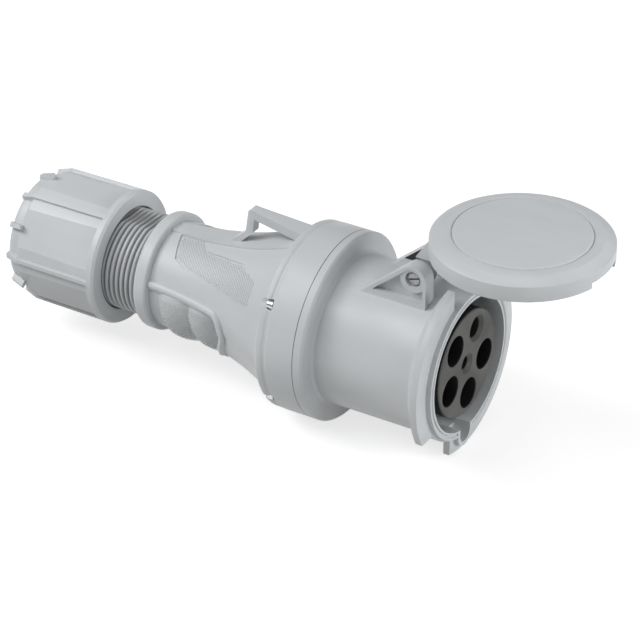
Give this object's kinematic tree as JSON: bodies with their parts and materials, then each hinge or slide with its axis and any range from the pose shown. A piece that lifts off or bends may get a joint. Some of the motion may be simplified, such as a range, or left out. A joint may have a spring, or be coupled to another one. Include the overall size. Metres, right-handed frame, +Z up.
{
  "type": "industrial power coupler",
  "caption": "Round industrial cable coupler in pale grey plastic, open hinged lid over a keyed mouth with recessed contacts, flared finger grip with hanging loop, and a ribbed cable gland nut.",
  "frame": {"origin": "centre of the mouth, in the plane of its rim", "axes": "+X out of the mouth along the coupler's axis, +Z up towards the lid's hinge, +Y to the right seen from the mouth"},
  "size_m": [0.3328, 0.1002, 0.1342],
  "materials": {
    "housing_grey": "fine satin moulded surface",
    "carrier_dark": "matt moulded surface",
    "gland_dark": "matt moulded surface",
    "contact_brass": "bright turned",
    "screw_steel": "zinc plated",
    "pin_steel": "darkened",
    "rubber_black": "soft matt",
    "gasket_grey": "soft matt"
  },
  "bodies": {
    "housing": {"rear_housing": "housing_grey", "front_housing": "housing_grey", "housing_seal": "rubber_black", "housing_screws": "screw_steel", "carrier_screws": "screw_steel", "terminal_screws": "screw_steel", "contact_carrier": "carrier_dark", "carrier_plate": "carrier_dark", "hinge_pin": "pin_steel", "lid_spring": "screw_steel", "cable_seal": "rubber_black", "clamp_claw": "gland_dark", "earth_contact": "contact_brass", "phase_contact_1": "contact_brass", "phase_contact_2": "contact_brass", "phase_contact_3": "contact_brass", "neutral_contact": "contact_brass", "pilot_contact": "contact_brass"},
    "lid": {"lid": "housing_grey", "lid_gasket": "gasket_grey"},
    "ring": {"pressure_ring": "gland_dark"},
    "nut": {"gland_nut": "housing_grey"}
  },
  "joints": [
    {"name": "lid_hinge", "type": "hinge", "parent": "housing", "child": "lid", "pos_m": [-0.0237, 0, 0.0506], "axis": [0, 1, 0], "range_deg": [-25, 90], "stiffness_Nm_per_rad": 0.05, "springref_deg": 135.22, "deforming": ["lid_spring"]},
    {"name": "ring_slide", "type": "slide", "parent": "housing", "child": "ring", "axis": [1, 0, 0], "range_m": [-0.012, 0.018]},
    {"name": "nut_turn", "type": "hinge", "parent": "ring", "child": "nut", "pos_m": [-0.23, 0, 0], "axis": [1, 0, 0], "range_deg": [-720, 1080]}
  ],
  "couplings": [
    {"joint": "ring_slide", "follows": "nut_turn", "m_per_rad": 0.000954}
  ]
}
